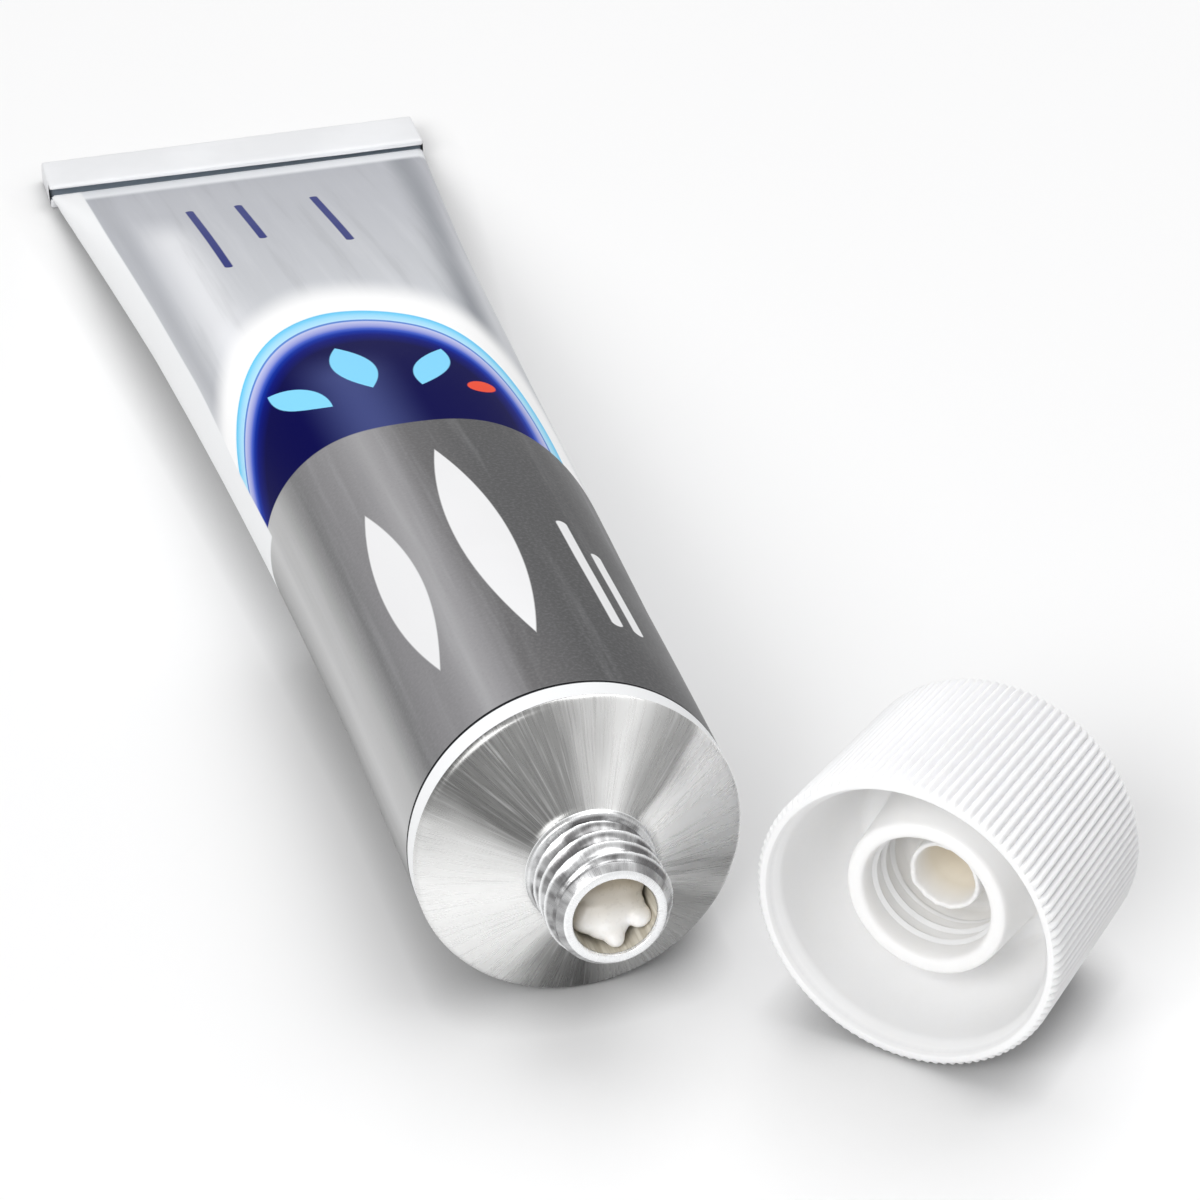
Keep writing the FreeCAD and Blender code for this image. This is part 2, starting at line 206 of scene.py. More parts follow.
def turned(rings: Sequence[Ring], segments: int,
           rib: Callable[[float], float] | None = None) -> bmesh.types.BMesh:
    """A turned form: a circle drawn out from ring to ring.

    Args:
        rings: The profile's rings in order.
        segments: Points round each ring.
        rib: Share of the rib depth to take off at an angle, or None for a plain ring.

    Returns:
        The form, with an int layer `ring` and `spoke` on its vertices.
    """
    form = bmesh.new()
    ring_tag = form.verts.layers.int.new("ring")
    spoke_tag = form.verts.layers.int.new("spoke")
    circle = bmesh.ops.create_circle(form, cap_ends=False, segments=segments, radius=1.0)["verts"]
    loop = sorted(circle, key=lambda vert: math.atan2(vert.co.y, vert.co.x) % (math.tau - 1e-9))
    for spoke, vert in enumerate(loop):
        vert[spoke_tag] = spoke
    edges = list(form.edges)
    for index, ring in enumerate(rings):
        if index:
            made = bmesh.ops.extrude_edge_only(form, edges=edges)["geom"]
            loop = [item for item in made if isinstance(item, bmesh.types.BMVert)]
            edges = [item for item in made if isinstance(item, bmesh.types.BMEdge)]
        for vert in loop:
            angle = math.tau * vert[spoke_tag] / segments
            radius = ring.radius - (ring.ribs * rib(angle) if rib else 0.0)
            vert.co = Vector((radius * math.cos(angle), radius * math.sin(angle), ring.height))
            vert[ring_tag] = index
    bmesh.ops.recalc_face_normals(form, faces=form.faces)
    return form


def lay_chart(form: bmesh.types.BMesh, name: str, segments: int,
              place: Callable[[bmesh.types.BMVert, float], Pair]) -> None:
    """Lays a map on a turned form, closed where it comes round.

    Args:
        form: A form from `turned`.
        name: The map's name.
        segments: Points round each ring.
        place: The map's two values at a vertex and its share of the way round.
    """
    spoke_tag = form.verts.layers.int["spoke"]
    chart = form.loops.layers.uv.new(name)
    for face in form.faces:
        spokes = [loop.vert[spoke_tag] for loop in face.loops]
        wraps = max(spokes) - min(spokes) > segments / 2
        for loop in face.loops:
            spoke = loop.vert[spoke_tag]
            if wraps and spoke == 0:
                spoke = segments
            loop[chart].uv = place(loop.vert, spoke / segments)


def curve_through(points: Sequence[Pair], steps: int) -> list[Pair]:
    """Points on a smooth curve through the given ones.

    Args:
        points: Radius and height pairs.
        steps: Pieces between each two of them.

    Returns:
        The finer list, ends included.
    """
    fine: list[Pair] = []
    last = len(points) - 1
    for index in range(last):
        near = (points[max(index - 1, 0)], points[index], points[index + 1],
                points[min(index + 2, last)])
        for step in range(steps):
            t = step / steps
            pair = [0.5 * (2 * b + (c - a) * t + (2 * a - 5 * b + 4 * c - d) * t * t
                           + (3 * b - a - 3 * c + d) * t ** 3) for a, b, c, d in zip(*near)]
            fine.append((pair[0], pair[1]))
    return fine + [points[-1]]


def rounded(corners: Sequence[Triple], steps: int = 4) -> list[Pair]:
    """A profile with its corners rounded.

    Args:
        corners: Radius, height and rounding for each corner.
        steps: Pieces in each rounding.

    Returns:
        Radius and height pairs.
    """
    path: list[Pair] = []
    for index, (radius, height, round_by) in enumerate(corners):
        here = Vector((radius, height))
        if round_by <= 0 or index in (0, len(corners) - 1):
            path.append((radius, height))
            continue
        back = Vector(corners[index - 1][:2]) - here
        on = Vector(corners[index + 1][:2]) - here
        first = here + back.normalized() * min(round_by, back.length * 0.48)
        second = here + on.normalized() * min(round_by, on.length * 0.48)
        for step in range(steps + 1):
            t = step / steps
            point = first.lerp(here, t).lerp(here.lerp(second, t), t)
            path.append((point.x, point.y))
    return path


# ---- shading ----


Colour = tuple[float, float, float, float]
Stop = tuple[float, float, float, float]


def tone(*levels: float) -> Colour:
    """A colour in linear light from its red, green and blue on screen, 0 to 255."""
    shares = [level / 255.0 for level in levels]
    return (*(share / 12.92 if share <= 0.04045 else ((share + 0.055) / 1.055) ** 2.4
              for share in shares), 1.0)


def grey(level: float, cool: float = 0.0) -> Colour:
    """A grey by its level on screen, its blue shifted by `cool`."""
    return tone(level, level, level + cool)


def light(level: float) -> Colour:
    """A grey by its level in linear light."""
    return (level, level, level, 1.0)


class Value:
    """A shader value, reckoned with like a number."""

    def __init__(self, nodes: "Nodes", socket: bpy.types.NodeSocket) -> None:
        """Holds a socket with the nodes that it belongs to."""
        self.nodes, self.socket = nodes, socket

    def math(self, operation: str, other: "Value | float" = 0.0) -> "Value":
        """The result of a math node with another value."""
        return self.nodes.node("Math", 0, {0: self, 1: other}, operation=operation)

    def __add__(self, other: "Value | float") -> "Value":
        """Their sum."""
        return self.math("ADD", other)

    def __sub__(self, other: "Value | float") -> "Value":
        """The value less the other."""
        return self.math("SUBTRACT", other)

    def __rsub__(self, other: float) -> "Value":
        """The other less the value."""
        return self.nodes.node("Math", 0, {0: other, 1: self}, operation="SUBTRACT")

    def __mul__(self, other: "Value | float") -> "Value":
        """Their product."""
        return self.math("MULTIPLY", other)

    def __truediv__(self, other: "Value | float") -> "Value":
        """The value over the other."""
        return self.math("DIVIDE", other)

    def __abs__(self) -> "Value":
        """The value without its sign."""
        return self.math("ABSOLUTE")

    def step(self, low: float, high: float, start: float = 0.0, end: float = 1.0) -> "Value":
        """A smooth step from `start` at `low` to `end` at `high`."""
        entries = dict(enumerate((self, low, high, start, end)))
        return self.nodes.node("MapRange", 0, entries, interpolation_type="SMOOTHSTEP")

    def past(self, place: float, soft: float = 0.012) -> "Value":
        """One past a place and nought before it."""
        return self.step(place - soft, place + soft)

    def bell(self, centre: float, width: float) -> "Value":
        """One at `centre`, falling softly to nought at `width` on either side."""
        return abs(self - centre).step(0.0, width, 1.0, 0.0)

    def ramp(self, stops: Sequence[Stop]) -> "Value":
        """Colours strung along the value.

        Args:
            stops: Places in the value's own units, rising, each with its screen colour.

        Returns:
            The colour.
        """
        low, high = stops[0][0], stops[-1][0]
        colour = self.nodes.node("ValToRGB", 0, {0: (self - low) / (high - low)})
        band = colour.socket.node.color_ramp
        while len(band.elements) < len(stops):
            band.elements.new(0.5)
        for element, (place, *levels) in zip(band.elements, stops):
            element.position = (place - low) / (high - low)
            element.color = tone(*levels)
        return colour


class Nodes:
    """A node tree being put together."""

    def __init__(self, owner: bpy.types.Material | bpy.types.World) -> None:
        """Takes up its owner's tree."""
        owner.use_nodes = True
        self.tree = owner.node_tree

    def put(self, socket: bpy.types.NodeSocket, value: object) -> None:
        """Links a value to a socket, or sets a plain one."""
        if isinstance(value, Value):
            self.tree.links.new(value.socket, socket)
        else:
            socket.default_value = value

    def node(self, kind: str, output: int | str, entries: dict[int | str, object] | None = None,
             **settings: object) -> Value:
        """A new node.

        Args:
            kind: Its type, after the word ShaderNode.
            output: Which of its outputs is wanted.
            entries: What goes into its sockets.
            settings: Its properties.

        Returns:
            The output.
        """
        node = self.tree.nodes.new("ShaderNode" + kind)
        for key, setting in settings.items():
            setattr(node, key, setting)
        for key, value in (entries or {}).items():
            self.put(node.inputs[key], value)
        return Value(self, node.outputs[output])

    def mix(self, share: object, first: object, second: object) -> Value:
        """Two colours mixed by a share."""
        return self.node("Mix", 2, {0: share, 6: first, 7: second}, data_type="RGBA")

    def noise(self, vector: Value, scale: float | Triple, detail: float = 2.0,
              rough: float = 0.5) -> Value:
        """A noise value.

        Args:
            vector: Where it is read.
            scale: How fine it is, or three such for its three axes.
            detail: How many finer layers it has.
            rough: How strong they are.

        Returns:
            The value.
        """
        if isinstance(scale, tuple):
            vector = self.node("Mapping", "Vector", {"Vector": vector, "Scale": scale})
            scale = 1.0
        return self.node("TexNoise", "Fac", {"Vector": vector, "Scale": scale, "Detail": detail,
                                             "Roughness": rough})

    def relief(self, *layers: tuple[Value, float, float]) -> Value:
        """Bumps laid one over another.

        Args:
            layers: Each one's height, strength and depth in metres, the lowest first.

        Returns:
            The normal.
        """
        under: dict[int | str, object] = {}
        for height, strength, depth in layers:
            normal = self.node("Bump", "Normal", {"Height": height, "Strength": strength,
                                                  "Distance": depth, **under})
            under = {"Normal": normal}
        return normal

    def object_coords(self) -> Value:
        """Object coordinates, in metres."""
        return self.node("TexCoord", "Object")

    def map_coords(self, name: str) -> tuple[Value, Value, Value]:
        """A piece's own map: the vector and its two values."""
        chart = self.node("UVMap", "UV", uv_map=name)
        first = self.node("SeparateXYZ", 0, {0: chart})
        return chart, first, Value(self, first.socket.node.outputs[1])

    def attribute(self, name: str) -> Value:
        """A value that the mesh carries."""
        return self.node("Attribute", "Fac", attribute_name=name)


class Recipe(Nodes):
    """A node material being put together."""

    def __init__(self, name: str) -> None:
        """Starts a material with its principled shader."""
        self.material = bpy.data.materials.new(name)
        super().__init__(self.material)
        self.shader = self.tree.nodes["Principled BSDF"]

    def set(self, **values: object) -> bpy.types.Material:
        """Sets the shader's own sockets.

        Args:
            values: What goes into each, by name with underscores for spaces.

        Returns:
            The material.
        """
        for key, value in values.items():
            self.put(self.shader.inputs[key.replace("_", " ")], value)
        return self.material


# ---- finishes ----


class Motif(Enum):
    """The plain shapes of the print."""

    BAR = "bar"
    LEAF = "leaf"


@dataclass(frozen=True)
class Mark:
    """One plain shape of the print: where it lies on the map, its halves in centimetres, its turn."""

    shape: Motif
    across: float
    along: float
    half_length: float
    half_width: float
    turn: float = 0.0

    def share(self, across: Value, along: Value, soft: float = 0.008) -> Value:
        """One inside the shape, nought outside it.

        Args:
            across: The map's first value.
            along: The map's second value.
            soft: Half the width of its edge.

        Returns:
            The share.
        """
        side, run = across - self.across, along - self.along
        cos, sin = math.cos(self.turn), math.sin(self.turn)
        length = run * cos - side * sin
        width = side * cos + run * sin
        if self.shape is Motif.LEAF:
            part = length / self.half_length
            return (self.half_width - part * part * self.half_width - abs(width)).past(0.0, soft)
        beyond = (abs(length) - max(self.half_length - self.half_width, 0.0)).math("MAXIMUM")
        away = (beyond * beyond + width * width).math("SQRT")
        return away.step(self.half_width - soft, self.half_width + soft, 1.0, 0.0)


class PrintMap:
    """The print's map in its material, centimetres: across from the top line, along from the rim."""

    def __init__(self, recipe: Recipe) -> None:
        """Finds the map."""
        self.recipe = recipe
        self.chart, self.across, self.along = recipe.map_coords("print")

    def stamp(self, marks: Sequence[Mark], ink: Colour, under: Value) -> Value:
        """Lays several plain shapes of one ink over a colour.

        Args:
            marks: The shapes.
            ink: Their colour.
            under: The colour beneath.

        Returns:
            The colour.
        """
        for mark in marks:
            under = self.recipe.mix(mark.share(self.across, self.along), under, ink)
        return under

    def streaked(self, under: Value, share: float) -> Value:
        """Lays faint lengthwise streaks, light and dark, over a colour.

        Args:
            under: The colour beneath.
            share: How strong they are.

        Returns:
            The colour.
        """
        lie = self.recipe.node("CombineXYZ", 0, {0: self.across * 3.6, 1: self.along * 0.14})
        drawn = self.recipe.noise(lie, 1.0, 4.0, 0.6)
        under = self.recipe.mix(drawn.step(0.5, 0.72, 0.0, share), under, tone(238, 239, 242))
        return self.recipe.mix(drawn.step(0.48, 0.3, 0.0, share), under, tone(96, 98, 104))


@dataclass(frozen=True)
class PrintedLacquer:
    """The printed body: fields of metallic and plain ink over white lacquer."""

    name: str = "printed_lacquer"
    white_band: float = 0.19
    black_line: float = 0.225
    line_soft: float = 0.004
    grey_end: float = 5.6
    grey_bow: float = 0.3
    arch_foot: float = 5.5
    arch_rise: float = 3.45
    arch_middle: float = -0.15
    arch_reach: float = 1.5
    flare_start: float = 2.56
    flare_slope: float = 0.313
    flare_most: float = 1.2
    strip_edge: float = -1.95
    strip_foot: float = 5.4
    underside: float = 4.1
    fold_highlight_edge: float = 14.98
    # where the painted white highlight band at the fold begins, along from the rim
    front_metal: float = 0.35
    tail_metal: float = 0.25
    # the grey field's ink with a painted sheen across it: lighter and darker bands by place across
    # the tube stand in for reflections
    front_painted_sheen: tuple[Stop, ...] = (
        (-2.6, 116, 116, 116), (-2.4, 148, 148, 148), (-1.98, 196, 196, 196), (-1.66, 178, 178, 178),
        (-1.38, 120, 120, 121), (-1.15, 136, 135, 137), (-0.9, 140, 139, 141), (-0.62, 164, 163, 165),
        (-0.44, 146, 145, 147), (-0.25, 108, 107, 108), (0.3, 88, 88, 89), (1.0, 82, 82, 83),
        (1.6, 92, 92, 93))
    blue_tones: tuple[Stop, ...] = (
        (0.7, 0, 0, 72), (0.765, 0, 14, 116), (0.8, 6, 46, 160), (0.825, 70, 98, 200),
        (0.85, 150, 158, 220), (0.893, 198, 201, 236), (0.9, 92, 136, 214), (0.91, 92, 136, 214),
        (0.915, 184, 230, 251), (0.955, 160, 221, 250), (0.985, 118, 208, 248), (0.998, 92, 200, 244))
    silver_tones: tuple[Stop, ...] = (
        (9.0, 204, 206, 210), (11.3, 197, 199, 204), (13.2, 189, 191, 197), (15.3, 184, 186, 192))
    white_marks: tuple[Mark, ...] = (
        Mark(Motif.LEAF, -0.9, 2.6, 1.45, 0.2),
        Mark(Motif.LEAF, -0.02, 3.0, 1.9, 0.24),
        Mark(Motif.BAR, 0.78, 2.3, 1.0, 0.055),
        Mark(Motif.BAR, 1.0, 2.05, 0.75, 0.055))
    blue_marks: tuple[Mark, ...] = (
        Mark(Motif.LEAF, -0.95, 6.75, 0.5, 0.17, 0.55),
        Mark(Motif.LEAF, -0.3, 7.2, 0.62, 0.2, 0.1),
        Mark(Motif.LEAF, 0.42, 6.95, 0.5, 0.17, -0.4))
    orange_marks: tuple[Mark, ...] = (Mark(Motif.BAR, 0.78, 6.35, 0.0, 0.14),)
    ink_marks: tuple[Mark, ...] = (
        Mark(Motif.BAR, -0.85, 12.4, 1.35, 0.045),
        Mark(Motif.BAR, -0.3, 12.9, 0.85, 0.045),
        Mark(Motif.BAR, 0.55, 12.6, 1.1, 0.045))

    def arch(self, lay: PrintMap) -> Value:
        """How far out a place lies in the blue arch: one on its outer edge. Its left side flares.

        Args:
            lay: The print's map.

        Returns:
            The share.
        """
        left = lay.across.math("LESS_THAN", self.arch_middle)
        flare = (self.flare_start - lay.along * self.flare_slope).math("MINIMUM", self.flare_most)
        side = (lay.across - self.arch_middle) / (left * flare + self.arch_reach)
        up = (lay.along - self.arch_foot) / self.arch_rise
        return (side * side + up * up).math("SQRT")

    def front(self, lay: PrintMap, grain: Value) -> Value:
        """The dark metallic field at the mouth's end, its ink given a painted sheen lying lengthwise
        across it.

        Args:
            lay: The print's map.
            grain: The ink's fine crackle.

        Returns:
            The colour.
        """
        ink = lay.across.ramp(self.front_painted_sheen)
        ink = lay.recipe.mix(grain.step(0.42, 0.72, 0.0, 0.12), ink, grey(182, 2))
        ink = lay.recipe.mix(grain.step(0.42, 0.28, 0.0, 0.1), ink, tone(60, 59, 60))
        return lay.stamp(self.white_marks, grey(240, 1), lay.streaked(ink, 0.09))

    def blue(self, lay: PrintMap, arch: Value) -> Value:
        """The navy arch with its glowing edge, its fine line, its light-blue border and a painted
        highlight stripe.

        Args:
            lay: The print's map.
            arch: How far out a place lies in it.

        Returns:
            The colour.
        """
        # painted highlight: a lengthwise stripe of light in the navy, fading towards the arch's top
        # and its edge
        sheen = lay.across.bell(-0.42, 0.62) * lay.along.step(6.9, 7.8, 0.72, 0.0)
        sheen = sheen * arch.step(0.74, 0.84, 1.0, 0.0)
        colour = lay.recipe.mix(sheen, arch.ramp(self.blue_tones), tone(76, 86, 142))
        colour = lay.stamp(self.blue_marks, tone(134, 214, 251), colour)
        return lay.stamp(self.orange_marks, tone(236, 84, 62), colour)

    def tail(self, lay: PrintMap, arch: Value) -> Value:
        """The silver end, fading to white round the arch: a painted highlight streak on its left, a
        narrow darker band beside the white strip, painted shade along its right edge and a painted
        white highlight band at the fold.

        Args:
            lay: The print's map.
            arch: How far out a place lies in the arch.

        Returns:
            The colour.
        """
        mix, across, along = lay.recipe.mix, lay.across, lay.along
        # painted highlight: a light lengthwise streak on the left
        painted_highlight = across.bell(-1.25, 0.42) * along.step(12.2, 13.8, 0.85, 0.0)
        silver = mix(painted_highlight, along.ramp(self.silver_tones), tone(236, 237, 240))
        silver = mix(across.bell(-1.72, 0.2) * 0.55, silver, tone(166, 168, 174))
        # painted shade: a darker band slanting along the right edge towards the fold
        slant = across + along * -0.085
        silver = lay.streaked(mix(slant.bell(0.56, 0.3) * 0.8, silver, tone(140, 143, 150)), 0.13)
        silver = mix(arch.step(1.1, 1.36, 1.0, 0.0), silver, grey(254))
        silver = lay.stamp(self.ink_marks, tone(30, 42, 120), silver)
        # painted highlight: a white band at the fold end, where the wall curves up into the fold
        return mix(along.past(self.fold_highlight_edge, 0.1), silver, tone(238, 240, 243))

    def build(self) -> bpy.types.Material:
        """Lays the fields together, then the white sides, the band and the line at the rim.

        Returns:
            The material.
        """
        recipe = Recipe(self.name)
        lay = PrintMap(recipe)
        across, along = lay.across, lay.along
        crackle = recipe.noise(lay.chart, (30.0, 30.0, 1.0), 4.0, 0.65)
        arch = self.arch(lay)
        right = (across + 0.1).math("MAXIMUM")
        behind = (along + right * right * self.grey_bow).past(self.grey_end)
        colour = recipe.mix(arch.past(1.0, 0.006), self.blue(lay, arch), self.tail(lay, arch))
        colour = recipe.mix(behind, self.front(lay, crackle), colour)
        drawn_in = across - along.step(6.3, 9.0, 0.0, 0.1)
        strip = 1.0 - drawn_in.past(self.strip_edge)
        strip = strip * along.step(self.strip_foot, self.strip_foot + 0.05)
        near = 1.0 - along.past(self.black_line, self.line_soft)
        bare = strip.math("MAXIMUM", abs(across).math("GREATER_THAN", self.underside))
        bare = bare.math("MAXIMUM", near)
        colour = recipe.mix(bare, colour, tone(242, 243, 244))
        line = near * along.past(self.white_band, self.line_soft)
        colour = recipe.mix(line, colour, grey(34, 2))
        metal = (self.front_metal - behind * self.front_metal
                 + arch.step(1.32, 1.55) * behind * self.tail_metal)
        cloud = recipe.noise(recipe.object_coords(), 60.0, 3.0)
        ripple = recipe.noise(lay.chart, (0.9, 0.25, 1.0))
        return recipe.set(
            Base_Color=colour, Metallic=metal * (1.0 - bare), IOR=1.06,
            Roughness=cloud.step(0.3, 0.7, 0.3, 0.38),
            Normal=recipe.relief((ripple, 0.1, 0.0008), (crackle, 0.08, 0.00004)))


@dataclass(frozen=True)
class TurnedAluminium:
    """Bare aluminium, turned: broad fan-shaped bands of painted sheen round the axis, given by their
    angle and level, and fine scratches. The mesh carries `neck` on its neck and `groove`, painted
    shade, in its thread, on the lip's bevel and on the ring at its foot."""

    name: str = "turned_aluminium"
    roughness: float = 0.3
    sway: float = 0.09
    painted_sheen_fans: tuple[Pair, ...] = (
        (0.0, 247), (0.3, 250), (0.5, 253), (0.7, 235), (0.8, 165), (1.02, 200), (1.22, 250),
        (1.5, 207), (1.75, 150), (2.1, 126), (2.5, 110), (2.68, 152), (2.85, 206), (3.4, 240),
        (3.9, 253), (4.15, 244), (4.42, 150), (4.72, 104), (5.0, 194), (5.3, 178), (5.7, 148),
        (6.0, 244), (6.2832, 247))

    def build(self) -> bpy.types.Material:
        """The painted sheen and the scratches of the cone, and the neck's bright crests with painted
        shade in its hollows.

        Returns:
            The material.
        """
        recipe = Recipe(self.name)
        chart, round_axis, _ = recipe.map_coords("turning")
        spokes = recipe.noise(chart, (46.0, 1.6, 1.0), 4.0, 0.6)
        drift = recipe.noise(chart, (3.0, 1.4, 1.0))
        rings = recipe.noise(chart, (0.3, 160.0, 1.0), 3.0, 0.6)
        blotch = recipe.noise(chart, (1.8, 7.0, 1.0), 3.0, 0.6)
        swayed = round_axis + drift.step(0.2, 0.8, -self.sway, self.sway)
        # painted reflection: bright and dark fan-shaped sheens set by the angle round the axis
        colour = swayed.ramp([(angle, level, level, level - 1) for angle, level in self.painted_sheen_fans])
        neck = recipe.attribute("neck")
        brushed = 1.0 - neck
        for start, end, share, level in ((0.5, 0.8, 0.34, 244), (0.5, 0.2, 0.3, 100)):
            colour = recipe.mix(spokes.step(start, end, 0.0, share) * brushed, colour, grey(level, 1))
        crest = recipe.mix(blotch.step(0.3, 0.5), grey(232, 1), tone(246, 247, 248))
        colour = recipe.mix(neck, colour, crest)
        # painted shade: mottled darkening in the thread's hollows, on the lip's bevel and on the ring
        # at the neck's foot
        deep = recipe.attribute("groove").step(0.12, 0.5) * blotch.step(0.4, 0.66, 0.88, 0.36)
        colour = recipe.mix(deep, colour, tone(76, 74, 75))
        rough = spokes.step(0.3, 0.8, self.roughness - 0.06, self.roughness + 0.08)
        relief = recipe.relief((spokes * brushed, 0.14, 0.00003), (rings * brushed, 0.12, 0.00002))
        return recipe.set(Base_Color=colour, Metallic=0.85, Roughness=rough, Normal=relief)


@dataclass(frozen=True)
class MouthLining:
    """The bore's wall, filmed over with ointment drawn into lengthwise streaks."""

    name: str = "mouth_lining"

    def build(self) -> bpy.types.Material:
        """Lays the streaks.

        Returns:
            The material.
        """
        recipe = Recipe(self.name)
        streaks = recipe.noise(recipe.map_coords("turning")[0], (5.0, 0.9, 1.0), 3.0, 0.6)
        colour = recipe.mix(streaks.step(0.38, 0.66), tone(186, 179, 163), tone(226, 221, 209))
        relief = recipe.relief((streaks, 0.3, 0.0001))
        return recipe.set(Base_Color=colour, Roughness=0.4, Normal=relief)


@dataclass(frozen=True)
class FoldLacquer:
    """White lacquer over the folded end, with faint handling marks."""

    name: str = "fold_lacquer"

    def build(self) -> bpy.types.Material:
        """Lays the marks, and the shade in the groove.

        Returns:
            The material.
        """
        recipe = Recipe(self.name)
        place = recipe.object_coords()
        cloud = recipe.noise(place, 90.0, 3.0)
        scuff = recipe.noise(place, (60.0, 900.0, 900.0), 3.0, 0.6)
        colour = recipe.mix(cloud.step(0.35, 0.7), tone(227, 228, 230), tone(234, 235, 237))
        colour = recipe.mix(scuff.step(0.66, 0.84, 0.0, 0.12), colour, tone(196, 200, 206))
        colour = recipe.mix(recipe.attribute("groove").step(0.05, 0.6), colour, tone(142, 154, 166))
        return recipe.set(
            Base_Color=colour, Roughness=scuff.step(0.3, 0.8, 0.32, 0.42), Specular_IOR_Level=0.35,
            Normal=recipe.relief((scuff, 0.06, 0.00004), (cloud, 0.12, 0.0003)))


@dataclass(frozen=True)
class Ointment:
    """Soft white ointment with a moist sheen."""

    name: str = "ointment"

    def build(self) -> bpy.types.Material:
        """Lays its soft clouds, with painted shade darkening its upper side, deeper in the mouth.

        Returns:
            The material.
        """
        recipe = Recipe(self.name)
        place = recipe.object_coords()
        cloud = recipe.noise(place, 300.0)
        grain = recipe.noise(place, 2600.0)
        colour = recipe.mix(cloud.step(0.3, 0.7), tone(243, 241, 237), tone(250, 249, 247))
        # painted shade: darker towards the upper side, under the mouth's lip
        colour = recipe.mix(recipe.attribute("depth"), colour, tone(176, 167, 151))
        return recipe.set(
            Base_Color=colour, Roughness=grain.step(0.3, 0.8, 0.26, 0.42),
            Normal=recipe.relief((cloud, 0.08, 0.0002), (grain, 0.05, 0.00003)),
            Subsurface_Weight=0.3, Subsurface_Radius=(1.0, 0.9, 0.8), Subsurface_Scale=0.001)


@dataclass(frozen=True)
class MouldedWhite:
    """White polypropylene, satin, letting a little light through."""

    name: str = "moulded_white"
    bright: Colour = grey(250)
    shade: Colour = grey(246)
    core: Colour = tone(241, 234, 221)
    # painted shade in the grooves between the ribs
    groove: Colour = grey(236, 2)

    def build(self) -> bpy.types.Material:
        """Lays its clouds, the warmth of its core and painted shade in the grooves between its ribs.

        Returns:
            The material.
        """
        recipe = Recipe(self.name)
        place = recipe.object_coords()
        cloud = recipe.noise(place, 130.0, 3.0)
        colour = recipe.mix(cloud.step(0.3, 0.7), self.shade, self.bright)
        colour = recipe.mix(recipe.attribute("warmth"), colour, self.core)
        colour = recipe.mix(recipe.attribute("painted_rib_shade"), colour, self.groove)
        return recipe.set(
            Base_Color=colour, Roughness=cloud.step(0.3, 0.7, 0.36, 0.44), Specular_IOR_Level=0.35,
            Normal=recipe.relief((recipe.noise(place, 1900.0), 0.08, 0.00003)),
            Subsurface_Weight=0.35, Subsurface_Radius=(1.0, 0.97, 0.92), Subsurface_Scale=0.002)


# ---- tube ----


@dataclass
class Piece:
    """What every sub-assembly knows: its own frame and its finish."""

    seat: Seat
    finish: bpy.types.Material

    def made(self, form: bmesh.types.BMesh, name: str, sharp: float) -> bpy.types.Object:
        """The form as a finished object, its edges crisp from `sharp` degrees."""
        return finish_mesh(form, name, self.seat, self.finish, sharp)


@dataclass
class TubeBody(Piece):
    """The drawn wall: round at the shoulder, flat at the fold, of one girth all along."""

    radius: float = 14.0
    length: float = 153.8
    flat_end: float = 0.25
    fullness: float = 0.71
    fold_middle: float = 1.4
    easing: float = 3.2
    swell: float = 0.16
    segments: int = 192
    rings: int = 96

    @property
    def girth(self) -> float:
        """The way once round the wall."""
        return math.tau * self.radius

    def half_height(self, share: float) -> float:
        """Half the outside height at a share of the length from the fold."""
        grown = share * (1 + self.fullness * (1 - share))
        return self.flat_end + (self.radius - self.flat_end) * grown

    def section(self, share: float, across: float) -> Vector:
        """A point on the outside.

        Args:
            share: Share of the length from the fold.
            across: Distance round the girth from the top line, millimetres.

        Returns:
            The point in the tube's workshop frame.
        """
        half = min(self.half_height(share), self.radius)
        flat = math.pi / 2 * (self.radius - half)
        rise = (half - self.radius * share - self.fold_middle * (1 - share)
                + (self.fold_middle - self.flat_end) * (1 - share) ** 8)
        run = abs(across)
        if run < flat:
            x, y = run, half
        elif run < flat + math.pi * half:
            turn = (run - flat) / half
            x, y = flat + half * math.sin(turn), half * math.cos(turn)
        else:
            x, y = flat - (run - flat - math.pi * half), -half
        return Vector((math.copysign(1.0, across) * x, y + rise, -(1 - share) * self.length))

    def eased(self, share: float, across: float) -> Vector:
        """A point of the section with the turn from flat to round eased.

        Args:
            share: Share of the length from the fold.
            across: Distance round the girth from the top line, millimetres.

        Returns:
            The point.
        """
        spread = min(self.easing, 0.5 * self.half_height(share)) * min(1.0, (1.002 - share) * 6.0)
        total = Vector((0.0, 0.0, 0.0))
        for step in (-1.0, -0.5, 0.0, 0.5, 1.0):
            place = (across + step * spread + self.girth / 2) % self.girth - self.girth / 2
            total += self.section(share, place)
        return total / 5.0

    def build(self) -> bpy.types.Object:
        """The wall with its print map.

        Returns:
            The piece.
        """
        form = turned([Ring(self.radius, -self.length * (1 - index / self.rings))
                       for index in range(self.rings + 1)], self.segments)
        ring_tag = form.verts.layers.int["ring"]
        spoke_tag = form.verts.layers.int["spoke"]
        # the seam, with spoke 0, runs along the underside
        lay_chart(form, "print", self.segments, lambda vert, share: (
            (share - 0.5) * self.girth / 10.0,
            self.length * (1 - vert[ring_tag] / self.rings) / 10.0))
        for vert in form.verts:
            share = vert[ring_tag] / self.rings
            across = (vert[spoke_tag] / self.segments - 0.5) * self.girth
            point = self.eased(share, across if across > -self.girth / 2 else self.girth / 2)
            swell = noise.noise(Vector((across * 0.05, share * 7.0, 1.7))) * self.swell
            inner = min(1.0, share * 8.0) * min(1.0, (1.0 - share) * 14.0)
            point.y += swell * inner * (1.0 if point.y > 0 else 0.0)
            vert.co = point
        bmesh.ops.recalc_face_normals(form, faces=form.faces)
        return self.made(form, "tube_wall", 60.0)


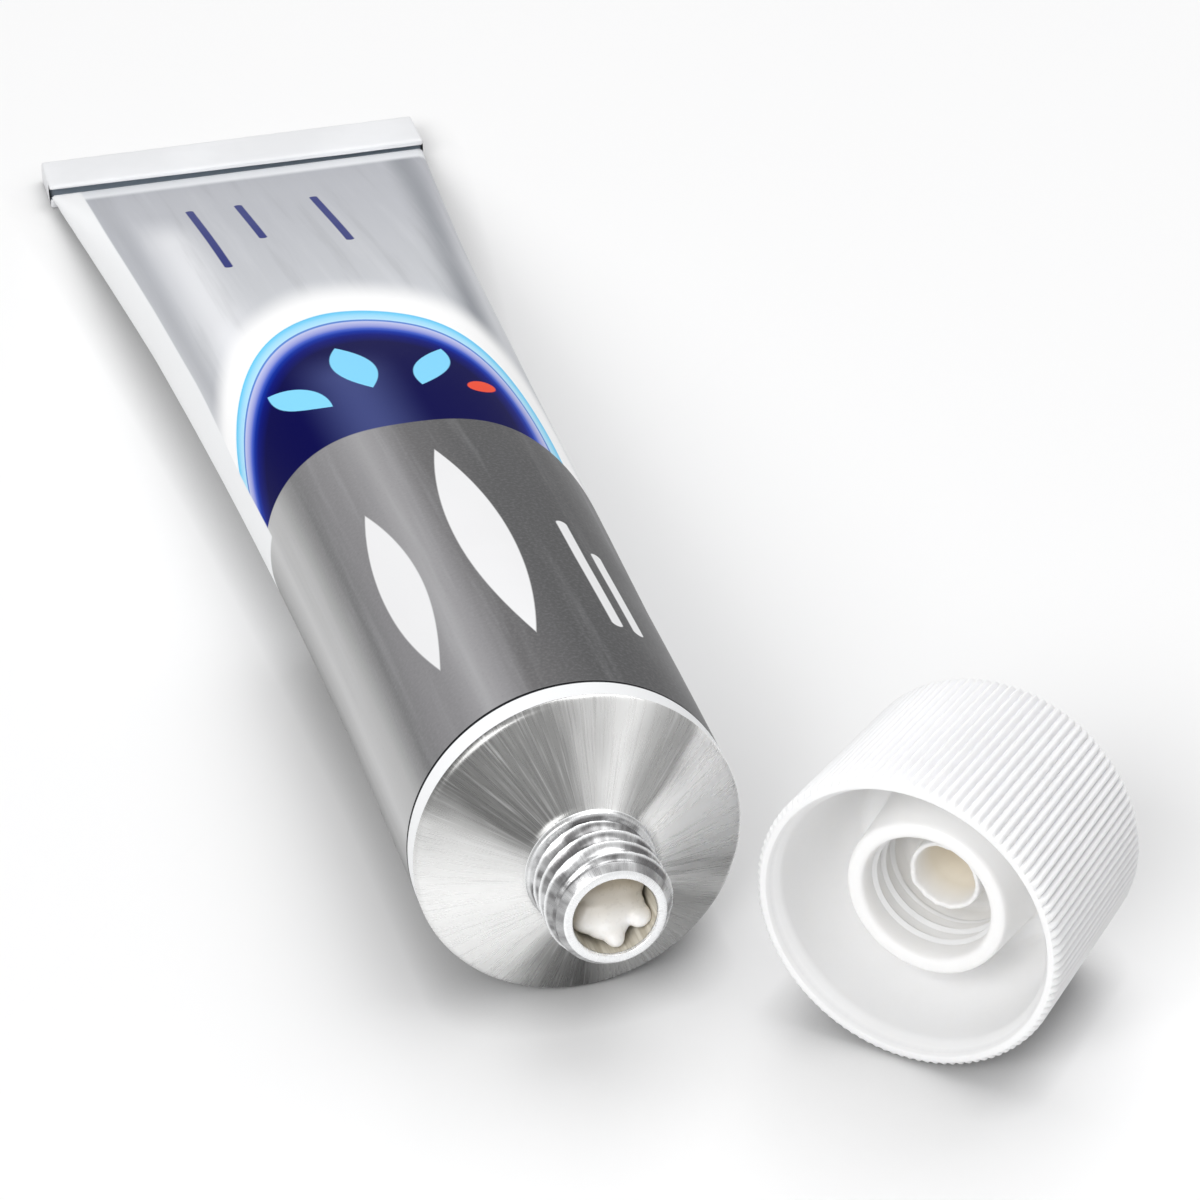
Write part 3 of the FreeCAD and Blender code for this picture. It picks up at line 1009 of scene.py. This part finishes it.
@dataclass
class Shoulder(Piece):
    """The bare shoulder cone, the threaded neck and the mouth with its lining."""

    radius: float = 14.0
    foot_height: float = 4.17
    foot_radius: float = 5.6
    core_radius: float = 4.74
    crest_radius: float = 5.34
    mouth_radius: float = 3.54
    lip_radius: float = 4.14
    lip_height: float = 11.93
    pitch: float = 1.72
    run_out: float = 0.5
    film: float = 0.03
    thread_rings: int = 96
    segments: int = 192

    @property
    def thread_zone(self) -> Pair:
        """Where the thread starts and ends along the axis."""
        return self.foot_height + 0.75, self.lip_height - 0.95

    def lathe(self) -> list[Pair]:
        """The profile over the cone and neck and down the bore, the thread left plain.

        Returns:
            Radius and height pairs.
        """
        (low, high), foot, lip = self.thread_zone, self.foot_height, self.lip_height
        rim, core, mouth = self.radius, self.core_radius, self.mouth_radius
        cone = rounded([
            (rim - 0.02, -0.05, 0.0), (rim + 0.05, 0.12, 0.12), (rim - 0.25, 0.5, 0.25),
            (5.9, foot - 0.24, 0.25), (5.58, foot + 0.05, 0.12), (5.5, foot + 0.5, 0.12),
            (core, low, 0.0)])
        neck = [(core, low + (high - low) * index / self.thread_rings)
                for index in range(1, self.thread_rings + 1)]
        bore = rounded([
            (core, high, 0.0), (core + 0.08, high + 0.2, 0.1),
            (self.lip_radius + 0.14, lip - 0.08, 0.16), (self.lip_radius - 0.16, lip, 0.08),
            (mouth + 0.08, lip - 0.01, 0.08),
            (mouth, lip - 0.25, 0.1), (mouth, 4.2, 0.1), (mouth + 0.3, 3.9, 0.0)])
        return cone + neck + bore[1:]

    def ridge(self, height: float, angle: float) -> float:
        """How high the right-hand thread stands.

        Args:
            height: The place along the axis.
            angle: The place round it.

        Returns:
            One on its fine crest, nought in its hollow.
        """
        low, high = self.thread_zone
        phase = (height - low) / self.pitch - angle / math.tau
        crest = 1.0 - math.sin(math.pi * (phase % 1.0)) ** 0.8
        ends = min((height - low) / self.run_out, (high - height) / self.run_out)
        return crest * max(0.0, min(1.0, ends))

    def chart(self, form: bmesh.types.BMesh) -> None:
        """Lays the turning map: round the axis in radians, outwards in centimetres."""
        lay_chart(form, "turning", self.segments, lambda vert, share: (
            share * math.tau, (reach(vert) + vert.co.z * 0.6) / 10.0))

    def build(self) -> bpy.types.Object:
        """The turned piece with its thread and its map round the axis.

        Returns:
            The piece.
        """
        form = turned(rings_of(self.lathe()), self.segments)
        spoke_tag = form.verts.layers.int["spoke"]
        groove = form.verts.layers.float.new("groove")
        neck = form.verts.layers.float.new("neck")
        low, high = self.thread_zone
        for vert in form.verts:
            radius, height = reach(vert), vert.co.z
            if height > self.foot_height and radius < self.foot_radius:
                vert[neck] = 1.0
                # painted shade, carried as groove: a little on the lip's bevel and on the ring below
                # the thread
                bevel = high < height < self.lip_height - 0.14 and radius > self.lip_radius + 0.06
                vert[groove] = 0.4 if bevel else 0.3 if self.foot_height + 0.1 < height < low else 0.0
            if abs(radius - self.core_radius) < 0.02 and low < height < high:
                ridge = self.ridge(height, math.tau * vert[spoke_tag] / self.segments)
                set_reach(vert, self.core_radius + (self.crest_radius - self.core_radius) * ridge)
                # painted shade, deepest down in the thread's hollow
                vert[groove] = 1.0 - ridge
        self.chart(form)
        return self.made(form, "tube_shoulder", 50.0)

    def lining(self, finish: bpy.types.Material) -> bpy.types.Object:
        """The film of ointment on the bore's wall.

        Args:
            finish: The lining's material.

        Returns:
            The piece.
        """
        form = turned([Ring(self.mouth_radius - self.film, self.lip_height - 0.3 - 0.7 * index)
                       for index in range(11)], self.segments)
        self.chart(form)
        face_axis(form)
        return finish_mesh(form, "mouth_lining", self.seat, finish, 35.0)


@dataclass
class Fold:
    """The folded end: the flattened wall rolled over into a soft-edged bar, level with the ground,
    with a groove along its front over the wall."""

    width: float = 43.98
    depth: float = 7.2
    thickness: float = 2.78
    groove_top: float = 2.08
    groove_foot: float = 1.16
    groove_depth: float = 0.85
    groove_slope: float = 0.3
    edge: float = 0.32
    slices: int = 48

    def section(self) -> list[Pair]:
        """Its outline: the way back from its front, and the height.

        Returns:
            The pairs in order.
        """
        top, back = self.thickness, self.depth
        return rounded([
            (0.5, 0.0, 0.0), (back, 0.0, 1.0), (back, top, 1.1), (0.0, top, 0.9),
            (0.0, self.groove_top, 0.16), (self.groove_depth, self.groove_top - 0.06, 0.1),
            (self.groove_depth, self.groove_foot, 0.1), (0.0, self.groove_foot - 0.05, 0.15),
            (0.0, 0.0, 0.6), (0.45, 0.0, 0.0)], 5)

    def build(self, finish: bpy.types.Material, back: float, middle: float) -> bpy.types.Object:
        """The rolled bar, in model metres.

        Args:
            finish: White lacquer.
            back: The tail end's Y in millimetres.
            middle: The bar's middle X in millimetres.

        Returns:
            The piece.
        """
        form = bmesh.new()
        groove = form.verts.layers.float.new("groove")
        ring = [form.verts.new((-self.width / 2, depth, height)) for depth, height in self.section()]
        made = bmesh.ops.extrude_face_region(form, geom=[form.faces.new(ring)])["geom"]
        far = [item for item in made if isinstance(item, bmesh.types.BMVert)]
        bmesh.ops.translate(form, verts=far, vec=(self.width, 0, 0))
        bmesh.ops.recalc_face_normals(form, faces=form.faces)
        ends = [edge for edge in form.edges if edge.calc_length() < self.width / 2]
        bmesh.ops.bevel(form, geom=ends, offset=self.edge, segments=4, profile=0.5, affect="EDGES",
                        material=-1)
        ridges = [edge for edge in form.edges if abs(edge.verts[0].co.x - edge.verts[1].co.x) > 10]
        bmesh.ops.subdivide_edges(form, edges=ridges, cuts=self.slices, use_grid_fill=True)
        for vert in form.verts:
            place = vert.co
            left = 0.5 - place.x / self.width
            in_front = place.y < self.groove_depth + 0.1
            # painted shade in the groove along the fold's front, carried as groove
            if self.groove_foot - 0.1 < place.z < self.groove_top + 0.01 and in_front:
                vert[groove] = min(1.0, max(0.0, place.y - 0.02) * 2.5)
            if abs(place.z - self.groove_top) < 0.25 and in_front:
                place.z += self.groove_slope * left ** 1.5
            wave = noise.noise(Vector((place.x * 0.12, place.y * 0.2, 4.0)))
            if place.z > 1.5:
                place.z -= 0.05 * abs(wave)
            place.x += middle
            place.y = back - self.depth + place.y
            vert.co = place * MM
        bmesh.ops.recalc_face_normals(form, faces=form.faces)
        return finish_mesh(form, "tube_fold", None, finish, 50.0)


# ---- cream ----


@dataclass
class CreamMound(Piece):
    """The ointment in the mouth: a broad mass lying to the upper side, with two soft lobes. Each lobe
    is given by its middle and its three halves."""

    bore: float = 3.49
    grain: float = 0.13
    smoothings: int = 9
    lobes: tuple[tuple[float, ...], ...] = (
        (0.0, 0.0, 6.6, 3.5, 3.5, 1.9),
        (0.0, 0.8, 7.9, 3.5, 2.7, 2.1),
        (-0.1, -0.8, 8.9, 3.3, 1.9, 1.9),
        (-0.2, -1.9, 9.8, 1.8, 1.3, 1.3),
        (0.15, -2.65, 10.6, 0.9, 0.85, 1.0),
        (2.35, -1.3, 10.1, 1.05, 0.95, 1.2),
        (-1.8, -1.2, 9.3, 1.5, 1.3, 1.5))

    def run_together(self) -> bmesh.types.BMesh:
        """The lobes melted into one skin.

        Returns:
            The skin.
        """
        form = bmesh.new()
        for x, y, z, wide, high, deep in self.lobes:
            place = Matrix.Translation((x, y, z)) @ Matrix.Diagonal((wide, high, deep, 1.0))
            bmesh.ops.create_icosphere(form, subdivisions=4, radius=1.0, matrix=place)
        heap = placed("cream_lobes", as_mesh(form, "cream_lobes"))
        remesh = heap.modifiers.new("run_together", "REMESH")
        remesh.mode = "VOXEL"
        remesh.voxel_size = self.grain
        depsgraph = bpy.context.evaluated_depsgraph_get()
        skin = bpy.data.meshes.new_from_object(heap.evaluated_get(depsgraph))
        bpy.data.objects.remove(heap)
        form = bmesh.new()
        form.from_mesh(skin)
        bpy.data.meshes.remove(skin)
        return form

    def build(self) -> bpy.types.Object:
        """The mound, smoothed and kept inside the bore.

        Returns:
            The piece.
        """
        form = self.run_together()
        depth = form.verts.layers.float.new("depth")
        for _ in range(self.smoothings):
            bmesh.ops.smooth_vert(form, verts=form.verts, factor=0.6, use_axis_x=True,
                                  use_axis_y=True, use_axis_z=True)
        for vert in form.verts:
            vert.co += vert.normal * (noise.noise(vert.co * 0.9) * 0.06)
            # painted shade, carried as depth: rising towards the mound's upper side
            vert[depth] = max(0.0, min(1.0, (vert.co.y + 1.3) / 3.0))
            if reach(vert) > self.bore:
                set_reach(vert, self.bore)
        return self.made(form, "cream_mound", 180.0)


# ---- cap ----


@dataclass
class Cap(Piece):
    """The screw cap: ribbed skirt, threaded collar, plug ring and a piercing spike in its end."""

    ribs: int = 108
    samples: int = 7
    open_radius: float = 13.5
    end_radius: float = 12.87
    rib_depth: float = 0.42
    thread_start: float = 5.3
    thread_root: float = 5.75
    thread_turns: float = 3.1
    pitch: float = 1.72
    turn_steps: int = 80

    def rib(self, angle: float) -> float:
        """Share of the rib depth taken off at an angle: rounded ridges with narrow grooves."""
        phase = (angle * self.ribs / math.tau) % 1.0
        return 1.0 - (0.5 - 0.5 * math.cos(math.tau * phase)) ** 0.55

    def outside(self) -> list[Ring]:
        """The ribbed outside, from the open rim to the closed end's rounding.

        Returns:
            Its rings.
        """
        skirt = [Ring(self.open_radius + (self.end_radius - self.open_radius) * share,
                      0.45 + share * 17.65, self.rib_depth) for share in (0.2, 0.4, 0.6, 0.8)]
        return [Ring(13.02, 0.0, 0.0), Ring(13.1, 0.05, 0.06), Ring(13.3, 0.2, 0.26),
                Ring(13.42, 0.35, 0.38), Ring(13.49, 0.6, 0.42), *skirt,
                Ring(12.86, 18.1, 0.42), Ring(12.78, 18.45, 0.4), Ring(12.62, 18.75, 0.32),
                Ring(12.38, 19.0, 0.2), Ring(12.08, 19.17, 0.08), Ring(11.75, 19.27, 0.0),
                Ring(11.3, 19.3, 0.0)]

    def inside(self) -> list[Ring]:
        """The plain inside, from the open rim in over the collar and the plug to the hollow spike.

        Returns:
            Its rings.
        """
        rim = rounded([(13.02, 0.0, 0.0), (12.85, 0.0, 0.0), (12.5, 0.02, 0.1), (12.38, 0.35, 0.1),
                       (12.2, 0.9, 0.1)], 3)
        wall = curve_through([(11.87, 1.25), (11.66, 4.0), (11.2, 6.75), (10.45, 10.0),
                              (9.6, 12.0)], 3)
        core = rounded([(9.55, 12.05, 0.0), (9.2, 12.3, 0.2), (7.7, 12.3, 0.3), (7.12, 4.3, 0.3),
                        (6.9, 4.0, 0.2), (6.0, 3.98, 0.2), (5.72, 4.2, 0.2), (5.62, 4.9, 0.2),
                        (5.62, 11.9, 0.3), (5.2, 12.3, 0.3), (3.35, 12.3, 0.2), (3.18, 8.0, 0.1),
                        (3.1, 7.8, 0.08), (2.85, 7.8, 0.08), (2.72, 8.0, 0.1), (2.5, 11.0, 0.3),
                        (2.0, 13.2, 0.3), (0.75, 16.6, 0.3), (0.02, 17.05, 0.0)], 2)
        return rings_of(rim + wall + core)

    def recess(self) -> list[Ring]:
        """The closed end's recess, in over the spike to its point.

        Returns:
            Its rings.
        """
        return rings_of(rounded([
            (11.3, 19.3, 0.0), (9.3, 19.3, 0.2), (8.95, 19.0, 0.2), (8.75, 14.1, 0.3),
            (8.4, 13.72, 0.3), (3.6, 13.7, 0.4), (3.1, 14.1, 0.3), (0.8, 17.9, 0.3),
            (0.02, 18.2, 0.0)], 2))

    def build(self) -> list[bpy.types.Object]:
        """The cap as one closed moulding, and its collar's thread.

        Returns:
            The moulding and the thread.
        """
        segments = self.ribs * self.samples
        profile = self.inside()[::-1] + self.outside()[1:] + self.recess()[1:]
        form = turned(profile, segments, self.rib)
        spoke_tag = form.verts.layers.int["spoke"]
        warm = form.verts.layers.float.new("warmth")
        painted_rib_shade = form.verts.layers.float.new("painted_rib_shade")
        for vert in form.verts:
            radius, height = reach(vert), vert.co.z
            angle = math.tau * vert[spoke_tag] / segments
            if radius < 7.9 and 3.9 < height < 17.1 and height < 12.4 + max(0.0, 3.0 - radius) * 3.0:
                vert[warm] = 1.0 if radius < 3.4 and height > 8.15 else 0.1
            # painted shade in the outside's rib grooves, and a little all over the ribbed outside
            if radius > 12.3 and height > 0.4:
                vert[painted_rib_shade] = 0.2 + 0.8 * self.rib(angle) * min(1.0, (height - 0.3) / 0.6)
            if 2.6 < radius < 3.3 and height < 8.1:
                ragged = noise.noise(Vector((math.cos(angle), math.sin(angle), 0.4)) * 1.6)
                torn = noise.noise(Vector((math.cos(angle), math.sin(angle), 0.9)) * 6.0)
                vert.co.z += 0.3 * ragged + 0.14 * torn
        bmesh.ops.dissolve_degenerate(form, dist=0.002, edges=form.edges)
        bmesh.ops.holes_fill(form, edges=[edge for edge in form.edges if edge.is_boundary], sides=0)
        bmesh.ops.recalc_face_normals(form, faces=form.faces)
        return [self.made(form, "cap_moulding", 50.0), self.thread()]

    def thread(self) -> bpy.types.Object:
        """The collar's inner thread, a low ridge swept as a screw and faded out at both ends.

        Returns:
            The piece.
        """
        form = bmesh.new()
        ridge = [(5.7, -0.45), (5.48, -0.22), (5.34, 0.0), (5.48, 0.22), (5.7, 0.45)]
        start = [form.verts.new((radius, 0.0, self.thread_start + rise)) for radius, rise in ridge]
        edges = [form.edges.new(pair) for pair in zip(start, start[1:])]
        steps = int(self.turn_steps * self.thread_turns)
        length = self.pitch * self.thread_turns
        bmesh.ops.spin(form, geom=start + edges, cent=(0, 0, 0), axis=(0, 0, -1),
                       dvec=(0, 0, length / steps), angle=math.tau * self.thread_turns,
                       steps=steps, use_merge=False)
        for vert in form.verts:
            height = vert.co.z - self.thread_start
            fade = max(0.0, min(1.0, height + 0.3, length - height))
            set_reach(vert, self.thread_root + (reach(vert) - self.thread_root) * fade)
        bmesh.ops.recalc_face_normals(form, faces=form.faces)
        face_axis(form)
        return self.made(form, "cap_thread", 60.0)


# ---- stage ----


@dataclass(frozen=True)
class Lamp:
    """A soft rectangular lamp: where it hangs and what it faces in metres, its size and its power."""

    name: str
    place: Triple
    aim: Triple
    size: Pair
    watts: float

    def build(self) -> None:
        """Hangs the lamp."""
        data = bpy.data.lights.new(self.name, "AREA")
        data.shape = "RECTANGLE"
        data.size, data.size_y = self.size
        data.energy = self.watts
        lamp = placed(self.name, data)
        lamp.location = self.place
        lamp.rotation_euler = (Vector(self.aim) - lamp.location).to_track_quat("-Z", "Y").to_euler()


@dataclass
class Stage:
    """The pale floor, the lamps, the sky and the camera: its angles in radians, its place in
    millimetres."""

    lens: float = 118.1
    heading: float = 0.2598
    drop: float = 0.5755
    roll: float = -0.0104
    eye: Triple = (-76.845, -321.282, 208.302)
    room: float = 0.33
    mirrored: float = 0.8
    # how far the painted shadow near the object reaches, in metres
    painted_shadow_reach: float = 0.0055
    glow: float = 0.006
    lamps: tuple[Lamp, ...] = (
        Lamp("over", (0.27, 0.27, 1.05), (0.0, 0.0, 0.0), (1.0, 1.0), 7.5),
        Lamp("front", (-0.75, -0.85, 0.8), (0.0, -0.05, 0.01), (0.8, 0.6), 11.0))

    def camera(self) -> None:
        """Places the camera."""
        ahead = Vector((math.cos(self.drop) * math.sin(self.heading),
                        math.cos(self.drop) * math.cos(self.heading), -math.sin(self.drop)))
        right = ahead.cross(Vector((0, 0, 1))).normalized()
        up = right.cross(ahead)
        cos, sin = math.cos(self.roll), math.sin(self.roll)
        turn = Matrix((right * cos + up * sin, up * cos - right * sin, -ahead)).transposed().to_4x4()
        data = bpy.data.cameras.new("camera")
        data.lens, data.sensor_width = self.lens, 36.0
        data.clip_start, data.clip_end = 0.01, 20.0
        camera = placed("camera", data)
        camera.matrix_world = Matrix.Translation(Vector(self.eye) * MM) @ turn
        bpy.context.scene.camera = camera

    def sky(self) -> None:
        """White to the eye, a soft grey room to the object, pale in its reflections."""
        world = bpy.data.worlds.new("room")
        bpy.context.scene.world = world
        nodes = Nodes(world)
        room = nodes.mix(nodes.node("LightPath", "Is Camera Ray"),
                         (self.room, self.room, self.room * 1.01, 1.0), light(1.0))
        room = nodes.mix(nodes.node("LightPath", "Is Glossy Ray"), room, light(self.mirrored))
        nodes.put(nodes.tree.nodes["Background"].inputs["Color"], room)

    def floor(self) -> bpy.types.Object:
        """A pale floor that keeps the object's shadow and a faint reflection, with a painted shadow
        darkening it close to the object.

        Returns:
            The floor.
        """
        form = bmesh.new()
        bmesh.ops.create_grid(form, x_segments=1, y_segments=1, size=4.0)
        floor = placed("floor", as_mesh(form, "floor"))
        recipe = Recipe("pale_floor")
        # painted shadow: the floor's colour darkens near the object by ambient occlusion
        near = recipe.node("AmbientOcclusion", "AO", {"Distance": self.painted_shadow_reach}, samples=12)
        recipe.set(Base_Color=recipe.mix(near, light(0.38), light(0.9)), Roughness=0.3,
                   Specular_IOR_Level=0.12)
        seen = recipe.node("LightPath", "Is Camera Ray") * self.glow
        glow = recipe.node("Emission", 0, {"Color": light(1.0), "Strength": seen})
        shaded = Value(recipe, recipe.shader.outputs[0])
        both = recipe.node("AddShader", 0, {0: shaded, 1: glow})
        recipe.put(recipe.tree.nodes["Material Output"].inputs["Surface"], both)
        floor.data.materials.append(recipe.material)
        return floor

    def build(self) -> None:
        """Sets the whole stage."""
        bpy.context.scene.view_settings.view_transform = "Standard"
        self.camera()
        self.sky()
        self.floor()
        for lamp in self.lamps:
            lamp.build()


# ---- whole ----


def dress(pieces: Iterable[bpy.types.Object], node: str) -> None:
    """Rides each piece on the body and lets it stand for a node.

    Args:
        pieces: New pieces.
        node: The node that they replace.
    """
    for piece in pieces:
        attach(piece, "root")
        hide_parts(node)
        LOG.info("%s stands for %s with %d faces", piece.name, node, len(piece.data.polygons))


def main() -> None:
    """Builds every piece in order."""
    logging.basicConfig(level=logging.INFO, format="%(message)s")
    Stage().build()
    seat = tube_seat()
    low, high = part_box("tube")
    shoulder = Shoulder(seat, TurnedAluminium().build())
    dress([TubeBody(seat, PrintedLacquer().build()).build(),
           shoulder.build(),
           shoulder.lining(MouthLining().build()),
           Fold().build(FoldLacquer().build(), high.y / MM, (low.x + high.x) / 2 / MM)], "tube")
    dress([CreamMound(seat, Ointment().build()).build()], "cream")
    dress(Cap(cap_seat(), MouldedWhite().build()).build(), "cap")


if __name__ == "__main__":
    main()
